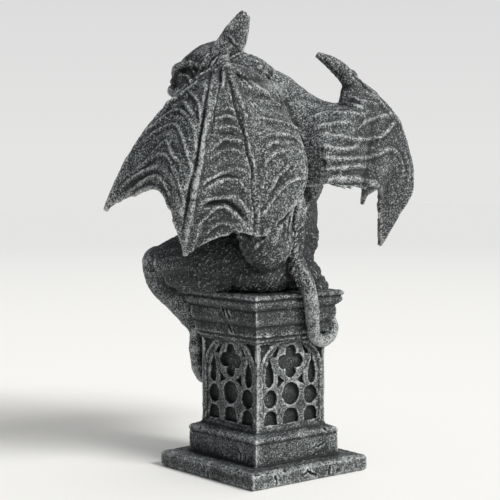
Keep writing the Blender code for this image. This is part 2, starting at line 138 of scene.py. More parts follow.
def meshFrom(name, points, faces):
    mesh = bpy.data.meshes.new(name)
    mesh.from_pydata((np.asarray(points) * mm).tolist(), [], faces)
    piece = bpy.data.objects.new(name, mesh)
    bpy.context.scene.collection.objects.link(piece)
    return piece


def joined(name, parts):
    deselectAll()
    for part in parts:
        part.select_set(True)
    bpy.context.view_layer.objects.active = parts[0]
    bpy.ops.object.join()
    parts[0].name = name
    return parts[0]


def mirrored(piece):
    # the same form on the right side, with its faces turned out again
    copy = piece.copy()
    copy.data = piece.data.copy()
    bpy.context.scene.collection.objects.link(copy)
    copy.data.transform(Matrix.Diagonal((-1, 1, 1, 1)))
    copy.data.flip_normals()
    return copy


def limb(points, rings=24, sides=16, flat=1.0, wide=(0.31, 0.87, 0.38), swell=None):
    # a closed tapering form along a curve; wide is its broad way, flat narrows the other, swell rings it
    path = splineThrough(points, rings)
    centres = path[:, :3]
    radii = np.maximum(path[:, 3], 0.15)
    if swell is not None:
        radii = radii * swell(np.linspace(0, 1, rings))
    along = unit(np.gradient(centres, axis=0))
    across = np.array(wide, float)
    turn = np.linspace(0.0, 2 * math.pi, sides, endpoint=False)
    points = []
    for centre, radius, direction in zip(centres, radii, along):
        across = unit(across - direction * np.dot(across, direction))
        third = np.cross(direction, across)
        section = np.outer(np.cos(turn), across) + flat * np.outer(np.sin(turn), third)
        points.append(centre + radius * section)
    faces = []
    for ring in range(rings - 1):
        for side in range(sides):
            after = (side + 1) % sides
            faces.append((ring * sides + side, ring * sides + after,
                          (ring + 1) * sides + after, (ring + 1) * sides + side))
    faces.append(tuple(range(sides - 1, -1, -1)))
    faces.append(tuple((rings - 1) * sides + side for side in range(sides)))
    return meshFrom("limb", np.vstack(points), faces)


def ball(centre, radii, axes=None):
    deselectAll()
    bpy.ops.mesh.primitive_uv_sphere_add(segments=28, ring_count=18, radius=1)
    piece = bpy.context.object
    shape = Matrix.Diagonal((*[radius * mm for radius in radii], 1))
    if axes is not None:
        shape = Matrix(axes).transposed().to_4x4() @ shape
    piece.data.transform(Matrix.Translation(Vector(centre) * mm) @ shape)
    return piece


def skin(first, second, hem, places, depth, sag, arch=0.0, crest=None, thick=None, seed=1):
    # the skin between two bones; places are where its folds lie down the wing, arch raises them in the middle
    rows, columns = 170, 100
    pull = 1.6  # how late the hem draws the skin down
    down = np.linspace(0.0, 1.0, rows)[:, None, None]
    over = np.linspace(0.0, 1.0, columns)[None, :, None]
    one = splineThrough(first, rows)[:, None, :]
    two = splineThrough(second, rows)[:, None, :]
    edge = splineThrough(hem, columns)[None, :, :]
    chord = (1 - over) * one[-1:] + over * two[-1:]
    surface = (1 - over) * one + over * two + (edge - chord) * down**pull
    if crest:
        straight = (1 - over) * one[:1] + over * two[:1]
        surface = surface + (splineThrough(crest, columns)[None, :, :] - straight) * (1 - down) ** 4
    normal = unit(np.cross(np.gradient(surface, axis=1), np.gradient(surface, axis=0)))
    between = np.clip(np.sin(math.pi * over), 0, 1)
    lift = -sag * between**0.5 * np.minimum(1.0, 3 * down)
    if places:
        waver = 0.014 * np.sin(7 * over + 5.0 * seed) + 0.008 * np.sin(19 * over + 2.1 * seed)
        order = np.arange(len(places))
        phase = np.interp(down + arch * between + waver, places, order, -0.5, len(places) - 0.5)
        uneven = 0.75 + 0.25 * np.sin(5.0 * over * (1 + 0.3 * seed) + 2.7 * np.round(phase) + seed)
        lift = lift + depth * between**0.5 * uneven * (1 - np.abs(np.sin(math.pi * phase)) ** 0.6)
    surface = surface + normal * lift
    deselectAll()
    bpy.ops.mesh.primitive_grid_add(x_subdivisions=columns - 1, y_subdivisions=rows - 1, size=1)
    piece = bpy.context.object
    piece.data.vertices.foreach_set("co", (surface * mm).ravel())
    piece.data.update()
    applyModifier(piece, "SOLIDIFY", thickness=(thick or casting["membrane"]) * mm, offset=0.0)
    return piece


# wings

def knuckled(knots):
    # a finger bone: thicker at its joints
    return lambda t: 1 + sum(0.28 * np.exp(-((t - knot) / 0.022) ** 2) for knot in knots)


def wingBones(long, short, claw, shortThickness=1.0):
    parts = []
    bones = ((leadingBone, (0.42, 0.72), 1.0), (long, (0.34, 0.67), 1.0),
             (short, (0.41, 0.83), shortThickness))
    for line, knots, thickness in bones:
        last = len(line) - 1
        thick = casting["bone"] * thickness
        points = [(*at, thick * (1 - 0.3 * place / last)) for place, at in enumerate(line)]
        parts.append(limb(points, 90, 14, swell=knuckled(knots)))
    nearElbow = moved(elbow, (-8, -2, -1))
    nearWrist = moved(wrist, (-0.5, 2, -8))
    arm = [(*shoulder, 7.2), (*nearElbow, 6.2), (*elbow, 6.0), (*nearWrist, 6.0), (*wrist, 4.4)]
    parts.append(limb(arm, 30, 20))
    parts.append(limb(claw, 110, 20, swell=hornRings))
    parts.append(ball(wrist, (4.6, 4.6, 4.6)))
    return parts


def hornRings(t):
    # rings of horn round the claw, fading to its point
    return 1 + 0.05 * np.sin(2 * math.pi * 10 * t) * np.clip(1.1 - t, 0, 1)


def leftWing():
    low = (31.5, 37, 137)
    short = shortBone + [low]
    longHem = [longTip, (66, 29, 133.5), (57, 34, 137.5), (48, 37, 139.5), (40, 38, 138), low]
    inner = innerLine + [(14, 41, 154), (19.5, 37, 147)]
    innerHem = [low, (28, 38, 139), (24, 38, 142), inner[-1]]
    claw = [(44, 22, 218, 4.6), (41, 15, 226, 4.0), (34, 7, 234, 3.0), (27, 0, 240, 0.8)]
    leadingFolds = [0.16, 0.25, 0.33, 0.41, 0.50, 0.60, 0.70, 0.81, 0.92, 1.04]
    longFolds = [0.20, 0.28, 0.36, 0.45, 0.55, 0.66, 0.78, 0.90, 1.05]
    innerFolds = [0.10, 0.20, 0.32, 0.46, 0.64, 0.82, 1.02]
    spineEnd = (10, 29, 150)
    return wingBones(longBone, short, claw) + [
        skin(longBone, leadingBone, leadingHem[::-1], leadingFolds, 0.9, 1.4, seed=1),
        skin(short, longBone, longHem[::-1], longFolds, 0.8, 2.2, 0.06, seed=2),
        skin(inner, short, innerHem[::-1], innerFolds, 0.6, 0.3, 0.05, thick=casting["innerMembrane"],
             seed=3),
        skin(spineLine + [spineEnd], inner, [spineEnd, (13, 33, 148), inner[-1]], [], 0, 0,
             thick=casting["innerMembrane"], seed=4),
        limb([(9, 9, 212, 10), (20, 15, 217.5, 8.5), (34, 20, 223, 6.5), (*wrist, 4.6)], 30, 20),
        limb([(6, 13, 213, 10), (17, 20, 214, 8), (31, 26, 215, 6), (44, 27, 218, 4)], 30, 20),
        limb([(8, 14, 206, 9), (18, 23, 207, 7.5), (31, 29, 207, 5.5), (44, 30, 211, 3.5)], 30, 20),
        ball((18, 24, 136), (15, 14, 18)),
        limb([(22, 34, 152, 5), (23, 35, 140, 5.5), (20, 28, 128, 6), (16, 18, 117, 6)], 30, 16),
        limb([(13, 36, 156, 4), (15, 35, 144, 4.4), (14, 29, 132, 4.6), (12, 20, 121, 4)], 30, 16),
    ]


def rightWing():
    # folded in further: its skin ends higher between the spine and the long finger
    long = longBone[:2] + [(69.5, 37.2, 201), (78, 38.8, 180), (81.5, 37.5, 161), (77.5, 31, 146), longTip]
    longHem = [longTip, (66, 27, 140), (62, 31, 152), (57.5, 36.5, 159), (50, 41, 162.5), shortBone[-1]]
    innerHem = [shortBone[-1], (28, 43, 163.5), (17, 45, 163), innerLine[-1]]
    crest = [innerLine[0], moved(elbow, (-9, 0, 3)), moved(elbow, (3, 1, 3)), wrist]
    claw = [(47, 27, 215, 5.0), (43, 25.5, 224, 4.9), (35, 22, 232.5, 4.1), (25.5, 17, 238.5, 1.9)]
    leadingFolds = [0.20, 0.34, 0.48, 0.62, 0.78, 0.92]
    folds = [0.10, 0.20, 0.31, 0.43, 0.56, 0.70, 0.85, 1.0]
    parts = wingBones(long, shortBone, claw, 0.6) + [
        ball((93.6, -12.6, 162), (2.9, 3.2, 4.6)), ball((86.8, -3.2, 184), (2.8, 3.0, 4.2)),
        limb([(*moved(at, (0, 0.4, 0)), 7) for at in shortBone[1:]], 40, 24, 0.3, (1, 0, 0)),
        skin(long, leadingBone, leadingHem[::-1], leadingFolds, 0.9, 1.8, seed=5),
        skin(shortBone, long, longHem[::-1], folds, 0.7, 0.3, seed=6),
        skin(innerLine, shortBone, innerHem[::-1], folds, 0.7, -2.5, crest=crest,
             thick=casting["innerMembrane"], seed=7),
        skin(spineLine, innerLine, [spineLine[-1], (6, 36, 163.5), innerLine[-1]], [], 0, 0,
             thick=casting["innerMembrane"], seed=8),
        limb([(2, 8, 213, 11), (13, 13, 210, 9.5), (24, 20, 206, 7), (*elbow, 5)], 30, 20),
        limb([(2, 12, 206, 10), (12, 20, 204, 8.5), (22, 26, 203, 6.5), (34, 29, 204, 5)], 30, 20),
    ]
    for part in parts:
        part.data.transform(Matrix.Diagonal((-1, 1, 1, 1)))
        part.data.flip_normals()
    return parts


# body

def torso():
    parts = [
        ball((0, 8, 124), (26, 20, 21)),
        ball((0, 11, 148), (28, 18, 27)),
        ball((0, 4, 172), (25, 21, 26)),
        ball((0, 3, 194), (25, 21, 21)),
        ball((0, -3, 210), (20, 18, 15)),
        limb([(0, 6, 210, 14), (0, -7, 222, 13.5), (2, -19, 228.5, 12.5), (9, -31, 231, 11.5)]),
        limb([(0, 17, 206, 6), (0, 22, 190, 6), (0, 24, 165, 6)]),
        ball((13, 10, 206), (13, 12, 11)),
        ball((-13, 10, 206), (13, 12, 11)),
        ball((-23, 15, 104), (10, 10, 9.5)),
        # right flank, waist and shoulder
        ball((-12, 12, 134), (15, 13, 20)),
        limb([(-17, 22, 166, 8), (-15, 19, 156, 7), (-12, 15, 146, 7)], 20, 16),
        limb([(-1, 3, 217, 13), (-6, 7, 215.5, 11.8), (-11, 11, 213, 9.6), (-17, 14.5, 211, 7.5)], 20, 20),
    ]
    for side in (-1, 1):
        # breast and belly
        for (across, *rest), radii in (
            ((10.5, -12.5, 198), (11, 7.5, 9.5)), ((6.5, -13.5, 181), (7, 5, 5.6)),
            ((6.5, -12.5, 169), (7, 4.6, 5.6)), ((6, -9.5, 157), (6.6, 5, 5.6)),
        ):
            parts.append(ball((side * across, *rest), radii))
        collar = [(0, -14, 209, 2.2), (side * 9, -14.5, 211.5, 2.6), (side * 19, -8, 214, 3.0)]
        parts.append(limb(collar, 20, 12))
    for rib in range(4):
        # ribs under the arms
        height = 190 - 9 * rib
        line = [(14, 20, height + 4, 1.6), (23.5, 8, height, 1.9), (21, -8, height - 4, 1.7),
                (10, -16.5, height - 7, 1.2)]
        parts.append(limb(line, 30, 8))
        parts.append(mirrored(parts[-1]))
    return parts


def toeJoints(t):
    return 1 + 0.16 * np.exp(-((t - 0.3) / 0.05) ** 2) + 0.14 * np.exp(-((t - 0.6) / 0.04) ** 2)


def legs():
    shin = [(*knee, 10.4), (41.5, -40, 108, 9.6), (30.5, -41.5, 96.5, 7.8), (*ankle, 6.2)]
    foot = [(*ankle, 5.8), (20, -37.5, 80, 5.2), (*toes, 4.4)]
    parts = [
        limb(shin), limb(foot), ball(moved(knee, (1, -1, 1)), (8.8, 8.8, 9.2)), ball(ankle, (6.6, 6.6, 6.6)),
        ball((32, -33, 109), (9.5, 9.5, 8.5)), ball((12, 10, 113), (17, 17, 11)),
        limb([(12, 4, 114, 9), (30, -9, 113, 11), (43, -32, 114, 8.5)], 20, 16),
    ]
    for toe in (-1, 0, 1):
        # toes that reach down the plinth's face and end in claws
        root = toes[0] + 3.4 * toe
        tip = toes[0] + 4.0 * toe
        line = [(root, -35.5, 80, 3.2), (tip, -35, 70, 3.3), (tip, -34, 60, 3.1), (tip, -31.5, 53, 2.4),
                (tip, -28, 48.5, 0.7)]
        parts.append(limb(line, 50, 12, swell=toeJoints))
    parts += [mirrored(part) for part in parts]
    # the right thigh lies a little lower and closer
    upper = [(*hip, 15), (24, -6, 121, 17.5), (35, -22, 122, 15.5), (*knee, 10.4)]
    parts += [ball(hip, (13, 17, 15)), limb(upper)]
    lower = [(-12, 5, 116, 13), (-21.5, -9, 117.5, 15.5), (-34, -23, 120, 14.5), (-knee[0], *knee[1:], 10.4)]
    return parts + [ball((-13, 5, 117), (12, 15, 14)), limb(lower)]


def arms():
    upper = [(23, 2, 205, 9.5), (27, -14, 188, 8.2), (24, -25, 165, 7.0), (20, -31, 148, 6.0)]
    lower = [(20, -31, 148, 6.2), (15, -33, 130, 5.6), (11.5, -31, 113, 4.6), (11, -30, 105, 4.8)]
    parts = [limb(upper), limb(lower), ball((20.5, -30, 148), (6.6, 6.8, 7.4))]
    for finger in (-1, 0, 1):
        across = 11 + 3.6 * finger
        line = [(11, -29, 106, 3.4), (across, -33, 105.5, 2.8), (across, -36.5, 101, 2.2),
                (across, -36, 93, 0.7)]
        parts.append(limb(line, 24, 10))
    return parts + [mirrored(part) for part in parts]


def tail():
    route = [
        (0, 27, 162, 3.8), (0, 30, 150, 4.8), (0.5, 27.5, 136, 5.0), (1, 28.5, 122, 4.8),
        (-0.5, 35.3, 112, 4.6), (-4, 36.8, 100, 4.2), (-8, 33.4, 88, 4.0), (-12, 30.4, 79.5, 3.7),
        (-19, 28.9, 75.3, 3.6), (-26, 28.5, 77.3, 3.4), (-30.3, 26.6, 82.5, 3.1), (-30, 25, 88, 2.3),
    ]
    return [limb(route, 140, 20)]


def head():
    centre = (15.0, -37.5, 231.0)
    turn, bow = math.radians(46), math.radians(30)
    forward = np.array([math.sin(turn) * math.cos(bow), -math.cos(turn) * math.cos(bow), -math.sin(bow)])
    left = np.array([math.cos(turn), math.sin(turn), 0.0])
    axes = [forward, left, np.cross(forward, left)]

    def place(ahead, side, above):
        return tuple(np.array(centre) + np.array([ahead, side, above]) @ np.array(axes))

    def lump(ahead, side, above, radii):
        return ball(place(ahead, side, above), radii, axes)

    def ridge(points, rings=24, sides=12, flat=1.0):
        return limb([(*place(*at[:3]), at[3]) for at in points], rings, sides, flat, forward)

    parts = [
        lump(-5, 0, 1.2, (15.2, 12.4, 10.6)), lump(6, 0, -2, (12, 11, 10)),
        lump(14.5, 0, -6, (9.5, 7.4, 6.4)), lump(12, 0, -12.5, (10, 6.2, 3.8)),
        lump(21.2, 0, -2.0, (3.6, 4.0, 3.6)),
        ridge([(-14, 0, 7.2, 4), (-4, 0, 9.2, 3.7), (6, 0, 7.6, 3.6), (13.5, 0, 4.2, 3.0),
               (19.5, 0, 1.2, 2.6)]),
    ]
    for side in (-1, 1):
        brow = [(16.5, side * 2.5, 4.4, 1.8), (12.5, side * 6.6, 7.2, 2.6), (6, side * 10.5, 6.4, 2.2),
                (0, side * 12, 1.8, 1.4)]
        cheek = [(14, side * 5.5, -4.5, 1.6), (8.5, side * 10, -5.5, 2.4), (1, side * 12.2, -3.5, 2.0)]
        fang = [(17.5, side * 4.6, -8.5, 1.3), (17.5, side * 4.8, -11.5, 0.9), (17, side * 4.6, -14, 0.4)]
        ear = [(-11, side * 7.5, -3, 8.0), (-19, side * 9.5, 2, 8.1), (-28.3, side * 10.6, 8.2, 6.1),
               (-38.2, side * 10.5, 15.4, 2.2)]
        parts += [ridge(brow), ridge(cheek), lump(11.5, side * 7.4, 1.8, (2.8, 2.4, 2.6)), ridge(fang, 12, 8),
                  ridge(ear, 30, 20, 0.5)]
        # wrinkles that run back from the brow and the mouth
        for step in range(3):
            fall = 3.4 * step
            parts.append(ridge([(4 - fall, side * 11.4, -2 - fall, 0.7),
                                (-2 - fall, side * 12.6, 1 - fall, 1.0),
                                (-8 - fall, side * 12.0, 5 - fall, 0.6)], 16, 8))
    return parts


def countTriangles(piece):
    return sum(len(face.vertices) - 2 for face in piece.data.polygons)


def melt(piece, voxel, smooth):
    # the overlapping forms become one skin, as in the mould
    makeActive(piece)
    piece.data.remesh_voxel_size = voxel * mm
    piece.data.remesh_voxel_adaptivity = 0.0
    bpy.ops.object.voxel_remesh()
    applyModifier(piece, "SMOOTH", factor=0.5, iterations=smooth)


def meshArrays(mesh):
    count = len(mesh.vertices)
    points = np.empty(count * 3)
    mesh.vertices.foreach_get("co", points)
    normals = np.empty(count * 3)
    mesh.vertices.foreach_get("normal", normals)
    edges = np.empty(len(mesh.edges) * 2, int)
    mesh.edges.foreach_get("vertices", edges)
    return points.reshape(-1, 3) / mm, normals.reshape(-1, 3), edges.reshape(-1, 2)


def averaged(values, edges, rounds):
    # each point's value drawn towards its neighbours', over and over
    count = len(values)
    degree = np.maximum(np.bincount(edges.ravel(), minlength=count), 1)
    one, two = edges.T
    for _ in range(rounds):
        total = [
            np.bincount(one, column[two], count) + np.bincount(two, column[one], count)
            for column in values.T
        ]
        values = 0.5 * values + 0.5 * np.stack(total, axis=1) / degree[:, None]
    return values


def figureShadeAndDarkening(x, y, z):
    # less brushed paint: painted shade on the haunches under the wings, much less paint on the ears' tips and
    # the claws, and a little less on the flanks, the left wing's middle skin and the right wing
    haunch = fadeIn(z, 98, 6) * fadeIn(z, 148, -10) * fadeIn(np.abs(x), 56, -8) * fadeIn(y, 34, -9)
    tips = np.maximum(fadeIn(z, 242, 8), fadeIn(z, 216, 6) * (np.abs(x) > 22))
    middle = np.exp(-((x - 58) / 12) ** 2) * (z > 128) * (z < 216) * (y > 15)
    right = fadeIn(x, -28, -6) * fadeIn(z, 132, 8)
    flank = fadeIn(z, 152, -8) * fadeIn(y, 20, 6) * (np.abs(x) < 34) * (z > 104)
    return np.clip(haunch + 0.8 * tips + 0.5 * middle + 0.28 * right + 0.4 * flank, 0, 1)


def plinthPaintedShade(x, y, z):
    # painted shade on the floors of the tracery's lights, and nearly as much painted shade over the cap
    depth = plinth["shaftHalf"] - np.maximum(np.abs(x), np.abs(y))
    onShaft = (z > plinth["panelFoot"]) & (z < plinth["shaftTop"])
    return fadeIn(depth, *plinth["paintedShadeDepth"]) * onShaft + plinth["capPaintedShade"] * (z > plinth["shaftTop"] + 1)


# rounds of smoothing that give the skin around a point, and the height in millimetres that counts as full
relief = {"fineRelief": (6, 0.45), "broadRelief": (45, 1.8)}


def markRelief(piece, shadeAndDarkening):
    # how far each point stands above or below the skin around it, for the dry-brushed paint
    points, normals, edges = meshArrays(piece.data)
    for name, (rounds, reach) in relief.items():
        height = np.sum((points - averaged(points, edges, rounds)) * normals, axis=1)
        height = averaged(height[:, None], edges, 1)[:, 0]
        marked = piece.data.attributes.new(name, "FLOAT", "POINT")
        marked.data.foreach_set("value", np.clip(0.5 + 0.5 * height / reach, 0, 1))
    # where the brushed paint is held back: painted shade under the wings, on the plinth's cap and in the
    # tracery, and darker paint elsewhere on the figure
    paintedShadeAndDarkening = piece.data.attributes.new("shadeAndDarkening", "FLOAT", "POINT")
    paintedShadeAndDarkening.data.foreach_set("value", shadeAndDarkening(*points.T))


def displace(piece, size, strength):
    # unevenness of one grain size
    texture = bpy.data.textures.new("stoneGrain", "CLOUDS")
    texture.noise_scale = size * mm
    applyModifier(piece, "DISPLACE", texture=texture, strength=strength * mm,
                  mid_level=0.5, texture_coords="LOCAL")


def keepInside(piece):
    # nothing of the casting reaches past the solid's own box
    points = meshArrays(piece.data)[0]
    low, high = (np.array(corner, float) / mm for corner in cadBox)
    piece.data.vertices.foreach_set("co", (np.clip(points, low, high) * mm).ravel())
    piece.data.update()


def lighten(piece):
    count = countTriangles(piece)
    if count > casting["mostTriangles"]:
        applyModifier(piece, "DECIMATE", ratio=casting["mostTriangles"] / count)
    keepInside(piece)
    print(piece.name, "triangles", countTriangles(piece))


fur = {
    "strands": 1900, "length": 5.2, "width": 0.55, "height": 1.0, "seed": 7,
    "low": 103, "high": 143, "halfAcross": 46, "front": -26, "back": 34,
}


def combFur(piece):
    # short strands over the haunches and lower back, combed down and outwards
    points, normals, _ = meshArrays(piece.data)
    x, y, z = points.T
    haunch = (z > fur["low"]) & (z < fur["high"]) & (np.abs(x) < fur["halfAcross"])
    haunch = haunch & (y > fur["front"]) & (y < fur["back"])
    rng = np.random.default_rng(fur["seed"])
    roots = rng.choice(np.flatnonzero(haunch), fur["strands"], replace=False)
    tree = kdtree.KDTree(int(haunch.sum()))
    for index in np.flatnonzero(haunch):
        tree.insert(points[index], int(index))
    tree.balance()
    lift = np.zeros(len(points))
    for root in roots:
        normal = normals[root]
        flow = np.array([0.5 * np.sign(x[root]), -0.4, -0.7]) + rng.normal(0, 0.22, 3)
        flow = unit(flow - normal * np.dot(flow, normal))
        across = np.cross(normal, flow)
        near = [found[1] for found in tree.find_range(points[root], fur["length"] * 0.7)]
        offset = points[near] - points[root]
        along = offset @ flow / fur["length"]
        aside = offset @ across / fur["width"] - 0.8 * along**2
        strand = np.exp(-aside**2) * np.clip(1 - (2 * along) ** 2, 0, 1)
        lift[near] = np.maximum(lift[near], fur["height"] * strand)
    edge = fadeIn(z, fur["low"], 3) * fadeIn(z, fur["high"] + 1, -6)
    piece.data.vertices.foreach_set("co", ((points + normals * (lift * edge)[:, None]) * mm).ravel())
    piece.data.update()


# carving, placed by where it shows in the 500 pixel photograph: each stroke is drawn across the picture
# and lands on the casting behind it; size gives its height and half width in millimetres

carving = {
    "folds": {
        "size": (1.1, 1.25),
        "leftOuter": [
            [(146, 160), (155, 151), (166, 141), (171, 151), (177, 162)],
            [(140, 144), (157, 131), (175, 125), (183, 140), (189, 160), (193, 173)],
            [(146, 131), (162, 118), (177, 110), (187, 116), (194, 130), (197, 149)],
            [(133, 171), (146, 162), (159, 154), (168, 157), (174, 171), (181, 190), (185, 205)],
            [(118, 190), (131, 179), (144, 171), (157, 166)],
            [(126, 194), (142, 182), (155, 176), (164, 182), (169, 194)],
            [(114, 203), (131, 198), (142, 190), (155, 187), (164, 194), (170, 211), (176, 228)],
            [(162, 105), (177, 97), (192, 86), (203, 78)], [(183, 101), (192, 114), (197, 131)],
            [(190, 92), (198, 102), (201, 120)],
        ],
        "leftMiddle": [
            [(217, 129), (223, 127), (232, 127), (239, 130)],
            [(217, 145), (223, 140), (234, 140), (241, 141)],
            [(208, 160), (221, 152), (232, 150), (243, 153)],
            [(204, 182), (216, 175), (227, 171), (237, 169), (248, 173)],
            [(202, 202), (212, 198), (225, 197), (236, 197), (245, 208), (251, 215)],
            [(198, 226), (208, 215), (217, 207), (226, 208), (234, 215)],
            [(205, 235), (214, 226), (223, 223), (232, 225)], [(240, 182), (243, 187), (247, 191)],
            [(222, 112), (227, 108), (233, 110)], [(219, 118), (226, 116), (235, 118)],
            [(198, 247), (208, 240), (217, 236), (227, 234), (237, 236), (245, 237), (252, 243)],
        ],
        "leftInner": [
            [(256, 117), (267, 119), (280, 122), (294, 127), (302, 135), (306, 143)],
            [(258, 135), (265, 131), (272, 128)],
            [(258, 141), (267, 135), (278, 134), (290, 136), (299, 142), (305, 150)],
            [(270, 190), (278, 177), (284, 171), (291, 164)],
            [(274, 199), (284, 186), (294, 180), (304, 178)],
            [(263, 215), (270, 204), (275, 195)], [(256, 247), (262, 242), (269, 235)],
            [(267, 147), (272, 143), (279, 142)], [(262, 170), (268, 160), (277, 153), (288, 150)],
        ],
    },
    "broadFolds": {
        "size": (1.15, 1.7),
        "rightWing": [
            [(308, 118), (327, 113), (345, 113), (364, 114)], [(315, 128), (328, 124), (351, 122)],
            [(324, 133), (339, 136), (353, 139), (361, 139), (375, 138), (385, 133), (392, 125), (397, 121)],
            [(359, 127), (367, 121), (378, 117), (391, 114)], [(321, 145), (342, 149), (358, 147)],
            [(365, 158), (378, 154), (391, 149), (399, 156), (403, 170)],
            [(321, 157), (341, 159), (369, 157)],
            [(323, 169), (340, 168), (353, 166), (369, 166)],
            [(322, 181), (340, 178), (360, 179), (378, 184)],
            [(350, 97), (362, 101), (376, 104)], [(372, 92), (384, 106), (392, 118)],
            [(330, 105), (348, 104), (362, 107)],
        ],
    },
    "creases": {
        "size": (1.05, 0.95),
        "neck": [
            [(211, 65), (217, 57), (223, 51), (231, 47)], [(231, 58), (236, 55), (245, 52)],
            [(232, 62), (239, 58), (247, 55), (255, 55)],
            [(196, 78), (204, 73), (210, 70), (217, 65), (223, 60)],
            [(190, 60), (192, 68), (196, 76)], [(182, 74), (189, 78), (191, 85)],
            [(225, 35), (231, 37), (234, 42), (238, 46)],
        ],
    },
    "bones": {
        "size": (0.8, 1.6),
        "lines": [
            [(217, 68), (212, 87), (209, 107), (207, 124), (203, 140), (202, 163), (198, 178), (194, 195),
             (192, 215), (188, 231)],
            [(223, 69), (223, 85), (227, 102)],
            [(230, 71), (235, 84), (240, 98), (244, 112), (245, 128), (248, 145), (254, 166), (256, 182),
             (258, 199), (259, 215), (258, 231), (257, 243)],
            [(236, 69), (245, 76), (254, 84), (266, 93), (272, 100)],
            [(202, 226), (194, 242), (191, 250)],
            [(299, 201), (300, 207), (296, 225), (295, 242), (296, 255), (300, 264), (308, 275), (312, 285)],
            [(302, 216), (309, 203), (317, 193)],
            [(404, 150), (409, 168), (408, 184)],
        ],
    },
    "grooves": {
        "size": (-1.5, 0.8),
        "lines": [
            [(210, 72), (208, 89), (204, 110), (202, 124), (199, 145), (194, 171), (189, 190), (186, 211),
             (182, 230)],
            [(220, 71), (220, 85), (216, 107), (214, 123), (211, 139)],
            [(227, 74), (231, 87), (234, 101), (238, 115), (241, 124), (245, 137), (247, 152), (252, 168),
             (252, 188), (254, 206), (255, 222), (254, 237)],
            [(234, 72), (241, 80), (247, 86)], [(250, 100), (256, 107)],
            [(208, 68), (212, 60), (220, 54), (228, 48)], [(216, 62), (221, 56), (228, 51)],
            [(221, 134), (229, 133), (236, 135)], [(205, 187), (217, 179), (229, 176), (241, 178)],
            [(266, 74), (273, 85), (281, 98)], [(291, 211), (288, 231), (290, 248), (288, 258)],
            [(353, 75), (362, 84), (370, 92)], [(324, 186), (345, 184), (365, 185)],
        ],
    },
    "overhangs": {
        "size": (-2.6, 1.5),
        "lines": [
            [(206, 206), (213, 204), (221, 203), (228, 203), (234, 206), (241, 213), (246, 220)],
            [(279, 225), (286, 216), (294, 206), (301, 196)],
        ],
    },
    "beads": {
        "size": (1.5, 1.25),
        "spots": [(256, 62), (260, 67), (265, 72), (270, 79), (276, 81), (281, 85), (285, 91), (287, 97),
                  (290, 104), (193, 196), (246, 116), (262, 187), (272, 101), (278, 105), (210, 115)],
    },
}


def pictureRay(across, down):
    # the line from the camera through a pixel of the photograph
    back, right, up, eye = cameraAxes()
    pixels = studio["pixels"]
    focal = studio["lens"] / studio["sensor"] * pixels
    return eye, (right * (across - pixels / 2) + up * (pixels / 2 - down) - back * focal).normalized()


def strokePlaces(tree, line):
    # a stroke's places on the casting, half a millimetre apart
    line = np.array(line, float)
    if len(line) > 1:
        length = np.sum(np.linalg.norm(np.diff(line, axis=0), axis=1))
        line = splineThrough(line, max(4, int(length / 0.9)))
    places = []
    for across, down in line:
        eye, direction = pictureRay(across, down)
        hit = tree.ray_cast(eye * mm, direction)
        if hit[0] is not None:
            places.append((np.array(hit[0]) / mm, np.array(hit[1])))
    return places


# a stroke's section: its crest, the soft dip along both sides and how far it reaches, in half widths
stroke = {"crest": 1.2, "dip": 0.28, "dipWidth": 2.4, "reach": 4.2, "deepest": -3.0, "highest": 2.0}


def carve(piece, work):
    mesh = piece.data
    points, normals, _ = meshArrays(mesh)
    corners = [vertex.co for vertex in mesh.vertices]
    tree = bvhtree.BVHTree.FromPolygons(corners, [list(face.vertices) for face in mesh.polygons])
    near = kdtree.KDTree(len(points))
    for index, point in enumerate(points):
        near.insert(point, index)
    near.balance()
    lift = np.zeros(len(points))
    for kind, strokes in work.items():
        height, width = strokes["size"]
        lines = [line for name, group in strokes.items() if name != "size" for line in group]
        if kind in ("beads", "chips"):
            lines = [[spot] for spot in lines]
        for line in lines:
            places = strokePlaces(tree, line)
            last = max(len(places) - 1, 1)
            raised = {}
            for step, (place, facing) in enumerate(places):
                taper = min(1.0, 0.35 + 4 * min(step, last - step) / last) if len(places) > 1 else 1.0
                for _, index, distance in near.find_range(place, stroke["reach"] * width):
                    if normals[index] @ facing > 0.2:
                        crest = stroke["crest"] * math.exp(-((distance / width) ** 2))
                        dip = stroke["dip"] * math.exp(-((distance / (stroke["dipWidth"] * width)) ** 2))
                        amount = height * taper * (crest - dip)
                        if abs(amount) > abs(raised.get(index, 0.0)):
                            raised[index] = amount
            for index, amount in raised.items():
                lift[index] += amount
    lift = np.clip(lift, stroke["deepest"], stroke["highest"])
    mesh.vertices.foreach_set("co", ((points + normals * lift[:, None]) * mm).ravel())
    mesh.update()


# plinth

wear = {
    "cracks": {
        "size": (-1.8, 0.6),
        "lines": [
            [(208, 472), (207.5, 475), (208.5, 479)], [(275, 476), (276.5, 481), (276, 487)],
            [(330, 466), (329.5, 475)], [(308, 469), (306, 473), (302, 476)],
            [(308, 471), (311, 473), (317, 475)], [(202, 291), (203, 296)], [(222, 306), (225, 315)],
            [(226, 309), (230, 318)], [(229, 325), (232, 333)], [(324, 426), (325, 430)],
            [(313, 448), (316, 445)], [(317, 447), (320, 444)], [(321, 445), (324, 442)],
            [(238, 449), (241, 455), (240, 460)],
        ],
    },
    "chips": {
        "size": (-1.1, 1.3),
        "spots": [(212, 463), (224, 466), (236, 470), (256, 474), (285, 470), (324, 428), (207, 459),
                  (200, 427), (310, 294), (338, 470)],
    },
}

